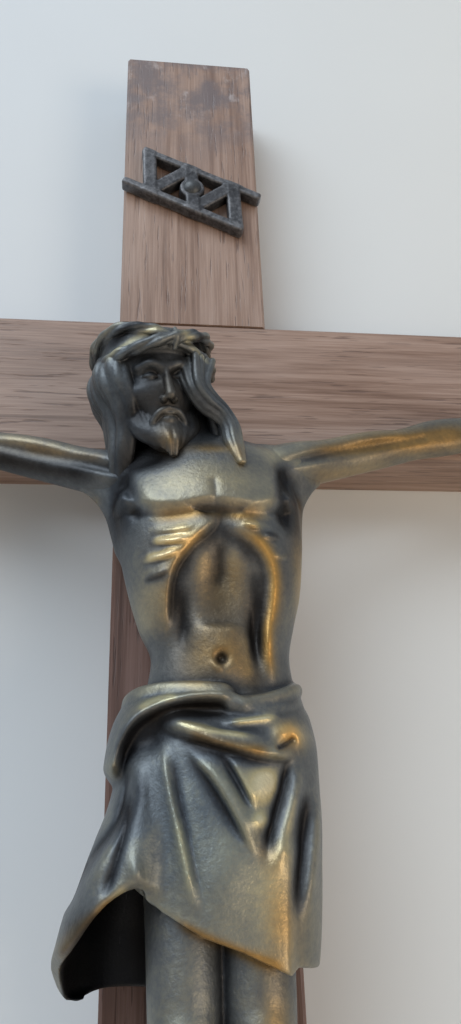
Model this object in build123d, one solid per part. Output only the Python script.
from build123d import *
import os
from math import atan2, copysign, cos, degrees, pi, radians, sin

# Wall crucifix: a wooden cross with a halved joint, a cast metal figure nailed to it, a pinned title strip.
# X runs to the viewer's right, Z up the upright and Y into the wall. The origin is on the back face, at the
# middle of the crossing, so the wall is the plane Y = 0 and the figure looks along -Y. All sizes are in mm.
# "Right" and "left" on the figure are its own, so its right arm is on the -X side.

# Wooden cross
UPRIGHT_WIDTH = 25.0
BEAM_HEIGHT = 25.0
STOCK_THICKNESS = 13.0
HEAD_LENGTH = 66.0  # upright above the beam
FOOT_LENGTH = 172.0  # upright below the beam
BEAM_LENGTH = 178.0
EDGE_BREAK = 0.5
LAP_GAP = 0.05  # glue line on each side of the halved joint

# Nails through hands and feet
NAIL_RADIUS = 0.9
NAIL_HEAD_RADIUS = 1.9
NAIL_HEAD_RISE = 1.1
NAIL_COVER = 5.0  # wood left behind a nail's point
NAIL_SEAT = 0.5  # how far the head is let into the casting
HOLE_GAP = 0.05  # around every nail, pin and tenon

# Figure: where it stands on the cross
FIGURE_SHIFT = 1.0  # chest centre from the upright's middle
SHOULDER_DROP = 19.0  # shoulder line below the beam's middle
RIGHT_SHOULDER_SAG = 2.2  # the figure's right shoulder hangs lower
BACK_GAP = 1.0  # between the wood and the figure's back

# Figure: trunk
TRUNK_LENGTH = 46.0  # shoulder line to the fork of the legs
CHEST_WIDTH = 26.5
CHEST_DEPTH = 17.0
WAIST_WIDTH = 18.0
WAIST_DEPTH = 13.5
HIP_WIDTH = 21.5
HIP_DEPTH = 15.0
WAIST_SHIFT = 1.3  # the hips swing to the figure's left
CHEST_RELIEF = 1.3  # how far the breast muscles stand out
NECK_RADIUS = 4.2
SQUARENESS = 0.88  # of the body's level outlines: 1 is an oval, less is squarer

# Figure: head, by its height from crown to chin
HEAD_HEIGHT = 22.0
HEAD_SHIFT = -7.8  # skull centre from the chest centre
HEAD_RISE = 9.4  # skull centre above the shoulder line
HEAD_STAND_OFF = 14.2
HEAD_NOD = 14.0  # forward
HEAD_TURN = 12.0  # to the figure's left
HEAD_TILT = 5.0  # to the figure's right
CROWN_RADIUS = 8.5
CROWN_ROPE = 1.2
CROWN_LEAN = 6.0  # of each of its two ropes, which cross each other

# Figure: arms
ARM_RISE = 15.0
UPPER_ARM = 25.0
FOREARM = 22.0
PALM = 9.0
FINGER_LENGTH = 6.0
ARM_HEIGHT = 7.4
ARM_DEPTH = 7.0
ARM_ROOT = 1.12  # the arm is thicker by this factor at the shoulder
PALM_WIDTH = 7.0
PALM_THICKNESS = 2.8
SHOULDER_INSET = 2.6  # seam of the arm, in from the side of the chest
SEAT_RIM = 0.6  # the flat that an arm is set on is this much larger in radius
TENON_RADIUS = 2.0
TENON_LENGTH = 4.0

# Figure: legs
THIGH = 33.0
SHIN = 31.0
FOOT = 14.0
THIGH_WIDTH = 9.0
LEG_SPREAD = 4.2  # thigh axis from the middle of the hips
KNEE_STAND_OFF = 14.5
FOOT_THICKNESS = 4.4

# Loincloth
CLOTH_DROP = 33.0  # upper edge below the shoulder line
CLOTH_LENGTH = 32.0
CLOTH_WIDTH = 24.5
CLOTH_DEPTH = 18.0
CLOTH_FOLDS = 10
FOLD_DEPTH = 0.8
HEM_SLOPE = 26.0
HEM_SHARE = 0.82  # where the hem crosses the figure's middle, as a share of the cloth's length
ROLL_RADIUS = 1.8
ROLL_LEAN = 0.06  # the rolled edge drops by this share of its reach towards the figure's right
ROLL_DIP = 0.28  # and by this share of its reach towards the front
FLAP_WALL = 1.2
FLAP_REACH = 17.0  # outer edge of the side fold from the chest centre
FLAP_DEPTH = 13.0
FLAP_SLOPE = 24.0  # its lower rim rises towards the figure's middle

# Title strip
TITLE_LENGTH = 24.0
TITLE_HEIGHT = 10.0
TITLE_THICKNESS = 2.4
TITLE_BAR = 2.6
TITLE_RAIL = 1.5
TITLE_BARS = 5
TITLE_BOSS_RADIUS = 2.3
TITLE_TILT = 25.0  # right end down
TITLE_RISE = 29.0  # strip centre above the beam
TITLE_GAP = 0.1  # between strip and wood, and under the pin's head
TITLE_PIN_RADIUS = 0.7
TITLE_PIN_HEAD = 1.6
TITLE_PIN_RISE = 0.8
TITLE_PIN_COVER = 4.6  # wood left between the pin's point and the hanger's pocket

# Hanger in the back of the upright
HANGER_RISE = 34.0  # bar of the ring above the beam
RING_WIRE = 1.6
RING_WIDTH = 12.0
RING_REACH = 10.0  # from the bar to the far side
STRAP_WIDTH = 7.0
STRAP_THICKNESS = 0.5  # one layer of the folded strap
STRAP_FOOT = 5.2
STRAP_SIDE_GAP = 0.4  # between the strap's edge and the ring's corner
HANGER_GAP = 0.1  # between the ring's bar and the strap
HANGER_NAIL_RADIUS = 0.6
HANGER_NAIL_HEAD = 1.2
HANGER_NAIL_RISE = 0.6
HANGER_NAIL_BITE = 3.0
POCKET_ROOM = 1.2  # round the hanger on every side
POCKET_CORNER = 2.0

# Worked out from the sizes above
FRONT = -STOCK_THICKNESS
BEAM_TOP = BEAM_HEIGHT / 2
LOOP_RADIUS = RING_WIRE / 2 + HANGER_GAP + STRAP_THICKNESS  # outside of the strap round the bar
POCKET_Z = BEAM_TOP + HANGER_RISE
POCKET_DEPTH = 2 * LOOP_RADIUS + POCKET_ROOM
POCKET_WIDTH = RING_WIDTH + RING_WIRE + 2 * POCKET_ROOM
POCKET_LENGTH = 2 * RING_REACH + RING_WIRE + 2 * POCKET_ROOM
NAIL_BITE = STOCK_THICKNESS - NAIL_COVER
TITLE_PIN_BITE = STOCK_THICKNESS - POCKET_DEPTH - TITLE_PIN_COVER
CHEST_STAND_OFF = CHEST_DEPTH / 2 + BACK_GAP
SHOULDER_SEAT = ARM_ROOT * max(ARM_HEIGHT, ARM_DEPTH) / 2 + SEAT_RIM
TITLE_Z = BEAM_TOP + TITLE_RISE
SHOULDER_Z = -SHOULDER_DROP
FORK_Z = SHOULDER_Z - TRUNK_LENGTH
KNEE_Z = FORK_Z + THIGH_WIDTH - THIGH
ANKLE_Z = KNEE_Z - SHIN
ARM_LENGTH = UPPER_ARM + FOREARM
BIG = BEAM_LENGTH + FOOT_LENGTH + HEAD_LENGTH  # larger than the whole object, for cutting
UP = Vector(0, 0, 1)
ACROSS = Vector(1, 0, 0)
OUTWARD = Vector(0, -1, 0)


def spot(side, out, height):
    """A point by its distance from the chest's centre line, out from the wood's front, and its height."""
    return Vector(FIGURE_SHIFT + side, FRONT - out, height)


def ring(height, side, out, half_width, half_depth, folds=0, depth=0.0, phase=0.0, count=16):
    """A level closed outline round an upright axis, squarer than an oval, with folds waved into it."""
    points = []
    for step in range(count):
        angle = 2 * pi * step / count
        wave = depth * cos(folds * angle + phase)
        across = copysign(abs(cos(angle)) ** SQUARENESS, cos(angle)) * (half_width + wave)
        through = copysign(abs(sin(angle)) ** SQUARENESS, sin(angle)) * (half_depth + wave)
        points.append(spot(side + across, out + through, height))
    return Face(Wire(Edge.make_spline(points, periodic=True)))


def oval(centre, along, reference, tall, wide):
    """An oval across a limb, its first radius turned towards the reference direction."""
    across = reference - along * along.dot(reference)
    plane = Plane(origin=centre, x_dir=across, z_dir=along)
    return (plane * Ellipse(tall, wide)).face()


def between(values, share):
    """A value on the smooth curve through the middle two of four values, at a share of the way."""
    before, start, end, after = values
    bend = before * 2 - start * 5 + end * 4 - after
    twist = start * 3 - before - end * 3 + after
    return start + ((end - before) + (bend + twist * share) * share) * (share / 2)


def limb(stations, reference, steps=2, straight=False):
    """A tube through stations of (centre, radius towards the reference, other radius), curved or straight."""
    last = len(stations) - 1
    fine = []
    for index in range(last):
        four = [stations[min(max(index + offset, 0), last)] for offset in (-1, 0, 1, 2)]
        for step in range(steps):
            fine.append([between(values, step / steps) for values in zip(*four)])
    fine.append(stations[last])
    faces = []
    for index, (centre, tall, wide) in enumerate(fine):
        along = fine[min(index + 1, len(fine) - 1)][0] - fine[max(index - 1, 0)][0]
        faces.append(oval(centre, along.normalized(), reference, tall, wide))
    return loft(faces, ruled=straight)


def ball(centre, across, through, high):
    """An ellipsoid by its three radii."""
    return Pos(*centre) * scale(Sphere(1.0), by=(across, through, high))


def bar(start, end, radius):
    """A round bar between two points."""
    way = end - start
    return Solid.make_cylinder(radius, way.length, Plane(origin=start, z_dir=way.normalized()))


def beyond(point, direction):
    """A block that fills the space beyond a point, for cutting a flat face there."""
    return Plane(origin=point, z_dir=direction) * Pos(0, 0, BIG / 2) * Box(BIG, BIG, BIG)


def nail(seat, way, radius, head_radius, rise, shank):
    """A nail with a domed head: its seat is the point under the head, and its way is into the wood."""
    bulge = (head_radius**2 + rise**2) / (2 * rise)
    dome = Plane(origin=seat, z_dir=-way) * Pos(0, 0, rise - bulge) * Sphere(bulge)
    return dome - beyond(seat, way) + bar(seat, seat + way * shank, radius)


# Wooden cross


def stick(width, thickness, length, centre):
    """A planed stick of wood with its sharp edges broken."""
    blank = Pos(*centre) * Box(width, thickness, length)
    return chamfer(blank.edges(), EDGE_BREAK)


def make_upright():
    """The upright, halved from the front for the beam, with the hanger pocket in its back."""
    length = HEAD_LENGTH + BEAM_HEIGHT + FOOT_LENGTH
    middle = BEAM_TOP + HEAD_LENGTH - length / 2
    notch_height = BEAM_HEIGHT + 2 * LAP_GAP
    notch = Pos(0, FRONT * 3 / 4, 0) * Box(2 * UPRIGHT_WIDTH, STOCK_THICKNESS / 2, notch_height)
    pocket = Pos(0, -POCKET_DEPTH / 2, POCKET_Z) * Box(POCKET_WIDTH, POCKET_DEPTH, POCKET_LENGTH)
    pocket = fillet(pocket.edges().filter_by(Axis.Y), POCKET_CORNER)
    return stick(UPRIGHT_WIDTH, STOCK_THICKNESS, length, (0, FRONT / 2, middle)) - notch - pocket


def make_beam():
    """The crossbeam, which lies in front and is halved from the back."""
    notch_width = UPRIGHT_WIDTH + 2 * LAP_GAP
    notch = Pos(0, FRONT / 4, 0) * Box(notch_width, STOCK_THICKNESS / 2, 2 * BEAM_HEIGHT)
    return stick(BEAM_LENGTH, STOCK_THICKNESS, BEAM_HEIGHT, (0, FRONT / 2, 0)) - notch


# Figure: trunk and neck

# Height as a share of the trunk below the shoulder line, half width and half depth, share of the hips' swing
TRUNK_LEVELS = [
    (-0.09, 0.40 * CHEST_WIDTH / 2, 0.52 * CHEST_DEPTH / 2, -0.6),
    (-0.04, 0.70 * CHEST_WIDTH / 2, 0.68 * CHEST_DEPTH / 2, -0.4),
    (0.03, 0.92 * CHEST_WIDTH / 2, 0.86 * CHEST_DEPTH / 2, 0.0),
    (0.12, 0.99 * CHEST_WIDTH / 2, 0.97 * CHEST_DEPTH / 2, 0.0),
    (0.25, 0.97 * CHEST_WIDTH / 2, 1.00 * CHEST_DEPTH / 2, 0.0),
    (0.42, 0.85 * CHEST_WIDTH / 2, 0.94 * CHEST_DEPTH / 2, 0.4),
    (0.56, 1.04 * WAIST_WIDTH / 2, 1.06 * WAIST_DEPTH / 2, 0.9),
    (0.67, 1.00 * WAIST_WIDTH / 2, 1.00 * WAIST_DEPTH / 2, 1.0),
    (0.80, 0.97 * HIP_WIDTH / 2, 0.98 * HIP_DEPTH / 2, 0.8),
    (1.00, 0.90 * HIP_WIDTH / 2, 0.90 * HIP_DEPTH / 2, 0.5),
]


def make_trunk():
    """Chest, belly and hips in one loft, with round shoulders, breast muscles and a hollow below the ribs."""
    levels = []
    for share, half_width, half_depth, swing in TRUNK_LEVELS:
        height = SHOULDER_Z - share * TRUNK_LENGTH
        levels.append(ring(height, swing * WAIST_SHIFT, CHEST_STAND_OFF, half_width, half_depth))
    trunk = loft(levels)
    chest_front = CHEST_STAND_OFF + CHEST_DEPTH / 2
    for side in (-1, 1):
        trunk += ball(arm_spot(side, -SHOULDER_INSET), ARM_HEIGHT * 0.62, ARM_DEPTH * 0.6, ARM_HEIGHT * 0.6)
        breast_z = SHOULDER_Z - TRUNK_LENGTH * 0.15
        breast = spot(side * CHEST_WIDTH * 0.21, chest_front - CHEST_RELIEF * 3.4, breast_z)
        trunk += ball(breast, CHEST_WIDTH * 0.25, CHEST_RELIEF * 3.6, TRUNK_LENGTH * 0.12)
    belly = spot(WAIST_SHIFT * 0.7, chest_front + CHEST_RELIEF * 1.2, SHOULDER_Z - TRUNK_LENGTH * 0.53)
    return trunk - ball(belly, WAIST_WIDTH * 0.36, CHEST_RELIEF * 2.8, TRUNK_LENGTH * 0.23)


def make_neck():
    """The neck, leaning out from the chest to the bowed head."""
    root = spot(HEAD_SHIFT * 0.1, CHEST_STAND_OFF, SHOULDER_Z - NECK_RADIUS)
    top = spot(HEAD_SHIFT * 0.8, HEAD_STAND_OFF - NECK_RADIUS / 2, SHOULDER_Z + HEAD_RISE * 0.7)
    return limb([(root, NECK_RADIUS, NECK_RADIUS), (top, NECK_RADIUS, NECK_RADIUS)], ACROSS, steps=1)


# Figure: head


def face_spot(across, out, up):
    """A point of the head in shares of its height, from the skull's centre, before it is bowed."""
    return Vector(across, -out, up) * HEAD_HEIGHT


def make_head():
    """Skull, jaw, nose, beard and hair as plain masses with the crown round them, bowed and turned as one."""
    unit = HEAD_HEIGHT
    # centre, then half width, half depth and half height as shares of the head's height
    masses = [
        (face_spot(0, 0, 0), 0.31, 0.38, 0.33),
        (face_spot(0, 0.10, -0.20), 0.245, 0.26, 0.33),
        (face_spot(0, 0.24, -0.37), 0.15, 0.12, 0.13),
        (face_spot(0, 0.26, -0.47), 0.08, 0.07, 0.08),
        (face_spot(0, -0.06, 0.03), 0.36, 0.38, 0.31),
    ]
    nose = [
        (face_spot(0, 0.34, 0.03), 0.030 * unit, 0.035 * unit),
        (face_spot(0, 0.40, -0.09), 0.045 * unit, 0.045 * unit),
        (face_spot(0, 0.40, -0.15), 0.050 * unit, 0.035 * unit),
    ]
    head = limb(nose, ACROSS, steps=1)
    for centre, across, through, high in masses:
        head += ball(centre, across * unit, through * unit, high * unit)
    for lean in (-CROWN_LEAN, CROWN_LEAN):
        head += Pos(0, 0, 0.20 * unit) * Rot(Y=lean) * Torus(CROWN_RADIUS, CROWN_ROPE)
    bowed = Rot(Y=-HEAD_TILT) * Rot(X=HEAD_NOD) * Rot(Z=HEAD_TURN)
    return Pos(*spot(HEAD_SHIFT, HEAD_STAND_OFF, SHOULDER_Z + HEAD_RISE)) * bowed * head


def make_locks():
    """The two long locks of hair that fall on the shoulders."""
    temple_z = SHOULDER_Z + HEAD_RISE
    thick = CROWN_ROPE * 1.7

    def strand(across, out, drop, share):
        centre = spot(HEAD_SHIFT * across, HEAD_STAND_OFF * out, temple_z - HEAD_RISE * drop)
        return centre, thick * share, thick * share * 1.5

    right = [strand(1.90, 0.94, 0.0, 1.0), strand(1.92, 0.92, 0.6, 1.0)]
    right += [strand(1.62, 0.92, 1.2, 0.9), strand(1.55, 0.92, 1.7, 0.55)]
    left = [strand(0.10, 0.96, -0.1, 1.0), strand(-0.05, 1.10, 0.5, 1.0)]
    left += [strand(-0.35, 1.16, 1.05, 0.85), strand(-0.52, 1.22, 1.55, 0.5)]
    return [limb(right, ACROSS), limb(left, ACROSS)]


# Figure: loincloth


# Share of the cloth's length down, width and depth there by share, and how deep the folds are
CLOTH_LEVELS = [
    (0.00, 0.84, 0.90, 0.2),
    (0.22, 0.97, 1.00, 0.6),
    (0.48, 1.00, 1.04, 1.0),
    (0.74, 0.98, 1.06, 1.2),
    (1.00, 0.96, 1.06, 1.4),
]


def make_cloth():
    """The cloth round the hips, with folds that deepen towards a sloping hem."""
    top = SHOULDER_Z - CLOTH_DROP
    levels = []
    for share, wide, deep, fold in CLOTH_LEVELS:
        levels.append(
            ring(
                top - share * CLOTH_LENGTH,
                WAIST_SHIFT * (0.6 - share * 0.6),
                CHEST_STAND_OFF + (KNEE_STAND_OFF - CHEST_STAND_OFF) * share * 0.25,
                wide * CLOTH_WIDTH / 2,
                deep * CLOTH_DEPTH / 2,
                folds=CLOTH_FOLDS,
                depth=fold * FOLD_DEPTH,
                phase=share * pi / 2,
                count=CLOTH_FOLDS * 6,
            )
        )
    return loft(levels) - beyond(spot(0, 0, top - CLOTH_LENGTH * HEM_SHARE), hem_way(HEM_SLOPE))


def make_roll():
    """The rolled upper edge of the cloth, from hip to hip round the front, where it dips."""
    across, through = CLOTH_WIDTH / 2 * 0.90, CLOTH_DEPTH / 2 * 0.96
    stations = []
    for turn in range(-40, 221, 26):
        angle = radians(turn)
        drop = ROLL_DIP * through * max(sin(angle), 0.0) - ROLL_LEAN * across * cos(angle)
        height = SHOULDER_Z - CLOTH_DROP - ROLL_RADIUS * 0.6 - drop
        centre = spot(WAIST_SHIFT * 0.6 + across * cos(angle), CHEST_STAND_OFF + through * sin(angle), height)
        stations.append((centre, ROLL_RADIUS, ROLL_RADIUS * 0.8))
    return limb(stations, UP, steps=1)


def hem_way(slope):
    """The downward direction square to a hem that rises towards the figure's right."""
    return Vector(-sin(radians(slope)), 0, -cos(radians(slope)))


def make_band():
    """The twisted end of the cloth tucked across the front."""
    top = SHOULDER_Z - CLOTH_DROP
    half_width = CLOTH_WIDTH / 2
    front = CHEST_STAND_OFF + CLOTH_DEPTH / 2
    # across and out as shares of the cloth's half width and front, drop and thickness as shares of the roll
    route = [(-0.75, 0.90, 2.6, 0.70), (-0.30, 1.00, 3.2, 0.85)]
    route += [(0.25, 1.02, 3.8, 1.00), (0.70, 0.92, 4.2, 0.80)]
    stations = []
    for across, out, drop, share in route:
        centre = spot(half_width * across, front * out, top - ROLL_RADIUS * drop)
        stations.append((centre, ROLL_RADIUS * share, ROLL_RADIUS * share))
    return limb(stations, UP)


def make_flap():
    """The fold that flares out on the figure's right, hollow and open below."""
    top = SHOULDER_Z - CLOTH_DROP - CLOTH_LENGTH * 0.14
    drop = CLOTH_LENGTH * 0.94
    outer, inner = [], []
    for share in (0.0, 0.35, 0.7, 1.0):
        half = CLOTH_WIDTH * (0.15 + 0.09 * share)
        deep = FLAP_DEPTH * (0.30 + 0.22 * share)
        edge = CLOTH_WIDTH / 2 + (FLAP_REACH - CLOTH_WIDTH / 2) * share
        centre = spot(half - edge, CHEST_STAND_OFF + FLAP_WALL * share, top - drop * share)
        outer.append((centre, half, deep))
        inner.append((centre - UP * FLAP_WALL, half - FLAP_WALL, deep - FLAP_WALL))
    hem = spot(-FLAP_REACH, CHEST_STAND_OFF, top - drop * 0.96)
    return limb(outer, ACROSS) - limb(inner[1:], ACROSS) - beyond(hem, hem_way(-FLAP_SLOPE))


# Figure: legs and feet


def make_legs():
    """Both legs, knees forward and ankles crossed, right over left, with the feet pointing down."""
    half = THIGH_WIDTH / 2
    solids = []
    for side, ankle_out in ((-1, FOOT_THICKNESS * 1.42), (1, FOOT_THICKNESS * 0.5)):
        hip = spot(side * LEG_SPREAD, CHEST_STAND_OFF, FORK_Z + THIGH_WIDTH)
        knee = spot(side * LEG_SPREAD * 0.92, KNEE_STAND_OFF - half * 0.8, KNEE_Z)
        ankle = spot(side * half * 0.2, ankle_out, ANKLE_Z)
        thigh, shin = knee - hip, ankle - knee
        leg = [
            (hip, half * 0.98, half),
            (hip + thigh * 0.35, half * 1.02, half * 1.06),
            (hip + thigh * 0.75, half * 0.92, half),
            (knee, half * 0.86, half * 0.98),
            (knee + shin * 0.15, half * 0.78, half * 0.86),
            (knee + shin * 0.38 - OUTWARD * half * 0.25, half * 0.80, half * 0.88),
            (knee + shin * 0.70 - OUTWARD * half * 0.1, half * 0.56, half * 0.64),
            (ankle, half * 0.46, FOOT_THICKNESS * 0.5),
            (ankle - UP * FOOT * 0.25, half * 0.54, FOOT_THICKNESS * 0.52),
            (ankle - UP * FOOT * 0.65 - ACROSS * side * half * 0.1, half * 0.72, FOOT_THICKNESS * 0.42),
            (ankle - UP * FOOT - ACROSS * side * half * 0.15, half * 0.56, FOOT_THICKNESS * 0.22),
        ]
        solids.append(limb(leg, ACROSS, steps=1))
    return solids


# Figure: arms


def arm_spot(side, distance, rise=0.0):
    """A point along an arm: its side, its distance from the seam in the front view, a step square to it."""
    wrist_out = PALM_THICKNESS / 2
    fall = min(distance / ARM_LENGTH, 1.0)
    out = CHEST_STAND_OFF + (wrist_out - CHEST_STAND_OFF) * fall
    along, across = cos(radians(ARM_RISE)), sin(radians(ARM_RISE))
    sag = RIGHT_SHOULDER_SAG if side < 0 else 0.0
    root = CHEST_WIDTH / 2 - SHOULDER_INSET
    reach = root + distance * along - rise * across
    return spot(side * reach, out, SHOULDER_Z - sag + distance * across + rise * along)


def arm_way(side):
    """The direction of an arm from its seam to the wrist."""
    return (arm_spot(side, ARM_LENGTH) - arm_spot(side, 0.0)).normalized()


def palm_nail_seat(side):
    """The point under the head of a hand's nail."""
    middle = arm_spot(side, ARM_LENGTH + PALM * 0.5)
    return Vector(middle.X, FRONT - PALM_THICKNESS + NAIL_SEAT, middle.Z)


def make_arm(side):
    """One arm with its open hand, a tenon for the shoulder and a hole for its nail."""
    tall, deep = ARM_HEIGHT / 2, ARM_DEPTH / 2
    shape = [
        (0.00, ARM_ROOT, ARM_ROOT),
        (0.22 * UPPER_ARM, ARM_ROOT, ARM_ROOT),
        (0.55 * UPPER_ARM, 0.98, 0.98),
        (0.92 * UPPER_ARM, 0.94, 0.92),
        (UPPER_ARM + 0.22 * FOREARM, 1.12, 0.92),
        (UPPER_ARM + 0.60 * FOREARM, 0.86, 0.70),
        (ARM_LENGTH, 0.62, 0.36),
    ]
    arm = limb([(arm_spot(side, along), tall * high, deep * thick) for along, high, thick in shape], UP)
    half_palm, half_thick = PALM_WIDTH / 2, PALM_THICKNESS / 2
    hand_shape = [
        (ARM_LENGTH - PALM * 0.15, 0.66 * half_palm, 0.95 * half_thick),
        (ARM_LENGTH + PALM * 0.45, 0.98 * half_palm, 1.12 * half_thick),
        (ARM_LENGTH + PALM, 0.94 * half_palm, 0.82 * half_thick),
    ]
    arm += limb([(arm_spot(side, along), high, thick) for along, high, thick in hand_shape], UP, steps=1)
    thick = PALM_WIDTH / 9
    for finger in range(4):
        lift = (finger - 1.5) * 2 * thick
        knuckle = arm_spot(side, ARM_LENGTH + PALM * 0.9, lift)
        middle = arm_spot(side, ARM_LENGTH + PALM + FINGER_LENGTH * 0.5, lift * 1.12) + OUTWARD * thick
        tip = arm_spot(side, ARM_LENGTH + PALM + FINGER_LENGTH * 0.8, lift * 1.15) + OUTWARD * thick * 2.6
        stations = [(knuckle, thick), (middle, thick * 0.92), (tip, thick * 0.7)]
        arm += limb([(centre, radius, radius) for centre, radius in stations], UP, steps=1, straight=True)
    thumb_root = arm_spot(side, ARM_LENGTH + PALM * 0.15, half_palm * 0.6)
    thumb_tip = arm_spot(side, ARM_LENGTH + PALM * 0.95, half_palm * 1.35) + OUTWARD * thick
    thumb = [(thumb_root, thick * 1.2, thick * 1.2), (thumb_tip, thick * 0.8, thick * 0.8)]
    arm += limb(thumb, UP, steps=1, straight=True)
    arm -= beyond(arm_spot(side, 0.0), -arm_way(side))
    arm -= beyond(Vector(0, FRONT, 0), -OUTWARD)
    root = arm_spot(side, 0.0)
    arm += bar(root + arm_way(side) * TENON_LENGTH / 2, root - arm_way(side) * TENON_LENGTH, TENON_RADIUS)
    return cut_for_nail(arm, palm_nail_seat(side))


def cut_for_nail(casting, seat):
    """A hole for a nail's shank and a round seat for its head."""
    casting -= bar(seat + OUTWARD * BIG, seat, NAIL_HEAD_RADIUS + HOLE_GAP)
    return casting - bar(seat, seat - OUTWARD * BIG, NAIL_RADIUS + HOLE_GAP)


# Figure: the body casting


def foot_nail_seat():
    """The point under the head of the nail through both feet."""
    return spot(0, FOOT_THICKNESS * 1.84 - NAIL_SEAT, ANKLE_Z - FOOT * 0.5)


def make_corpus():
    """The body casting: trunk, head, cloth and legs in one, flat behind, with sockets for the arms."""
    body = make_trunk()
    upper = [make_neck(), make_head(), *make_locks()]
    lower = [make_cloth(), *make_legs(), make_flap(), make_roll(), make_band()]
    for piece in upper + lower:
        body += piece
    for side in (-1, 1):
        root, way = arm_spot(side, 0.0), arm_way(side)
        body -= bar(root, root + way * UPPER_ARM, SHOULDER_SEAT)
        body -= bar(root, root - way * (TENON_LENGTH + HOLE_GAP), TENON_RADIUS + HOLE_GAP)
    body -= beyond(Vector(0, FRONT, 0), -OUTWARD)
    return cut_for_nail(body, foot_nail_seat())


# Title strip


def title_place():
    """Where the strip lies: its centre on the wood's front face, turned as it hangs."""
    return Pos(0, FRONT - TITLE_GAP, TITLE_Z) * Rot(Y=TITLE_TILT)


def make_title():
    """An openwork strip: a zigzag of slanted bars between two rails, with a round boss for its pin."""
    middle = -TITLE_THICKNESS / 2
    outline = Pos(0, middle, 0) * Box(TITLE_LENGTH, TITLE_THICKNESS, TITLE_HEIGHT)
    rail_lift = (TITLE_HEIGHT - TITLE_RAIL) / 2
    strip = Pos(0, middle, rail_lift) * Box(TITLE_LENGTH, TITLE_THICKNESS, TITLE_RAIL)
    strip += Pos(0, middle, -rail_lift) * Box(TITLE_LENGTH, TITLE_THICKNESS, TITLE_RAIL)
    pitch = (TITLE_LENGTH - TITLE_BAR) / TITLE_BARS
    slant = degrees(atan2(pitch, TITLE_HEIGHT - TITLE_RAIL))
    for index in range(TITLE_BARS):
        across = (index - (TITLE_BARS - 1) / 2) * pitch
        turn = slant if index % 2 else -slant
        slanted = Pos(across, middle, 0) * Rot(Y=turn) * Box(TITLE_BAR, TITLE_THICKNESS, TITLE_LENGTH)
        strip += slanted & outline
    strip += Rot(X=90) * Pos(0, 0, TITLE_THICKNESS / 2) * Cylinder(TITLE_BOSS_RADIUS, TITLE_THICKNESS)
    strip -= Rot(X=90) * Cylinder(TITLE_PIN_RADIUS + HOLE_GAP, BIG)
    return title_place() * strip


def title_pin_seat():
    """The point under the head of the strip's pin."""
    return Vector(0, FRONT - TITLE_THICKNESS - 2 * TITLE_GAP, TITLE_Z)


# Hanger


def ring_axis():
    """A point on the line that the hanger's ring turns about."""
    return Vector(0, -POCKET_DEPTH + LOOP_RADIUS, POCKET_Z)


def make_hanger_ring():
    """A D of wire that hangs from its straight bar."""
    half = RING_WIDTH / 2
    corner = (RING_WIDTH - STRAP_WIDTH) / 2 - STRAP_SIDE_GAP
    bend = RING_REACH - half
    outline = Curve() + [
        Line((corner - half, 0), (half - corner, 0)),
        CenterArc((half - corner, -corner), corner, 90, -90),
        Line((half, -corner), (half, -bend)),
        CenterArc((0, -bend), half, 0, -180),
        Line((-half, -bend), (-half, -corner)),
        CenterArc((corner - half, -corner), corner, 180, -90),
    ]
    path = Plane(origin=ring_axis(), x_dir=ACROSS, z_dir=OUTWARD) * outline
    wire = Wire(path.edges())
    section = Plane(origin=wire.position_at(0), z_dir=wire.tangent_at(0)) * Circle(RING_WIRE / 2)
    return sweep(section, path=wire)


def make_hanger_strap():
    """A strap folded round the ring's bar, with both its layers nailed down above it."""
    foot = LOOP_RADIUS + STRAP_FOOT
    layers = Rectangle(2 * STRAP_THICKNESS, foot)
    profile = Circle(LOOP_RADIUS) + Pos(STRAP_THICKNESS - LOOP_RADIUS, foot / 2) * layers
    profile -= Circle(RING_WIRE / 2 + HANGER_GAP)
    plane = Plane(origin=ring_axis(), x_dir=-OUTWARD, z_dir=ACROSS)
    strap = extrude(plane * profile, STRAP_WIDTH / 2, both=True)
    for seat in hanger_nail_seats():
        strap -= bar(seat - OUTWARD * LOOP_RADIUS, seat + OUTWARD * BIG, HANGER_NAIL_RADIUS + HOLE_GAP)
    return strap


def hanger_nail_seats():
    """The points under the heads of the two hanger nails."""
    height = POCKET_Z + LOOP_RADIUS + STRAP_FOOT / 2
    return [Vector(side * STRAP_WIDTH / 4, -POCKET_DEPTH + 2 * STRAP_THICKNESS, height) for side in (-1, 1)]


# All pieces


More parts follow.
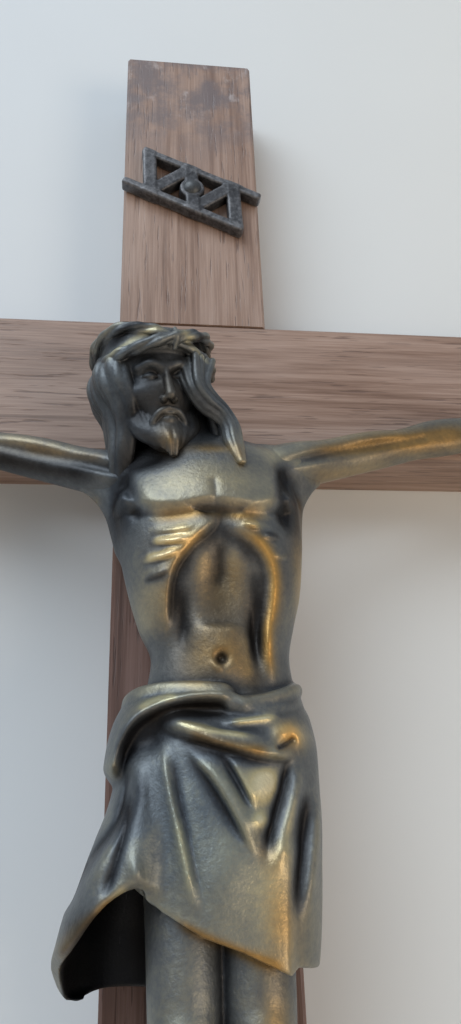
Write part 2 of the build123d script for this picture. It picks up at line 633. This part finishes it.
def nail_holes(wood, seats, way, radius, bite_plane, bite):
    """Holes in the wood for nails that are driven past a plane to a depth."""
    for seat in seats:
        mouth = Vector(seat.X, bite_plane, seat.Z)
        wood -= bar(mouth - way * EDGE_BREAK, mouth + way * (bite + HOLE_GAP), radius + HOLE_GAP)
    return wood


def main():
    os.makedirs("parts", exist_ok=True)
    inward = -OUTWARD
    palms = [palm_nail_seat(side) for side in (-1, 1)]
    feet = [foot_nail_seat()]
    title_seat = title_pin_seat()

    upright = make_upright()
    upright = nail_holes(upright, feet, inward, NAIL_RADIUS, FRONT, NAIL_BITE)
    upright = nail_holes(upright, [title_seat], inward, TITLE_PIN_RADIUS, FRONT, TITLE_PIN_BITE)
    hanger_seats = hanger_nail_seats()
    upright = nail_holes(upright, hanger_seats, OUTWARD, HANGER_NAIL_RADIUS, -POCKET_DEPTH, HANGER_NAIL_BITE)
    beam = nail_holes(make_beam(), palms, inward, NAIL_RADIUS, FRONT, NAIL_BITE)

    def long_nail(seat):
        return nail(seat, inward, NAIL_RADIUS, NAIL_HEAD_RADIUS, NAIL_HEAD_RISE, FRONT - seat.Y + NAIL_BITE)

    pin_shank = FRONT - title_seat.Y + TITLE_PIN_BITE
    hanger_shank = 2 * STRAP_THICKNESS + HANGER_NAIL_BITE
    small_nails = [
        nail(seat, OUTWARD, HANGER_NAIL_RADIUS, HANGER_NAIL_HEAD, HANGER_NAIL_RISE, hanger_shank)
        for seat in hanger_seats
    ]
    pieces = {
        "upright": upright,
        "crossbeam": beam,
        "corpus": make_corpus(),
        "right_arm": make_arm(-1),
        "left_arm": make_arm(1),
        "right_hand_nail": long_nail(palms[0]),
        "left_hand_nail": long_nail(palms[1]),
        "foot_nail": long_nail(feet[0]),
        "title_strip": make_title(),
        "title_pin": nail(title_seat, inward, TITLE_PIN_RADIUS, TITLE_PIN_HEAD, TITLE_PIN_RISE, pin_shank),
        "hanger_strap": make_hanger_strap(),
        "hanger_ring": make_hanger_ring(),
        "hanger_nails": Compound(children=small_nails),
    }
    for name, piece in pieces.items():
        export_step(piece, f"parts/{name}.step")


main()
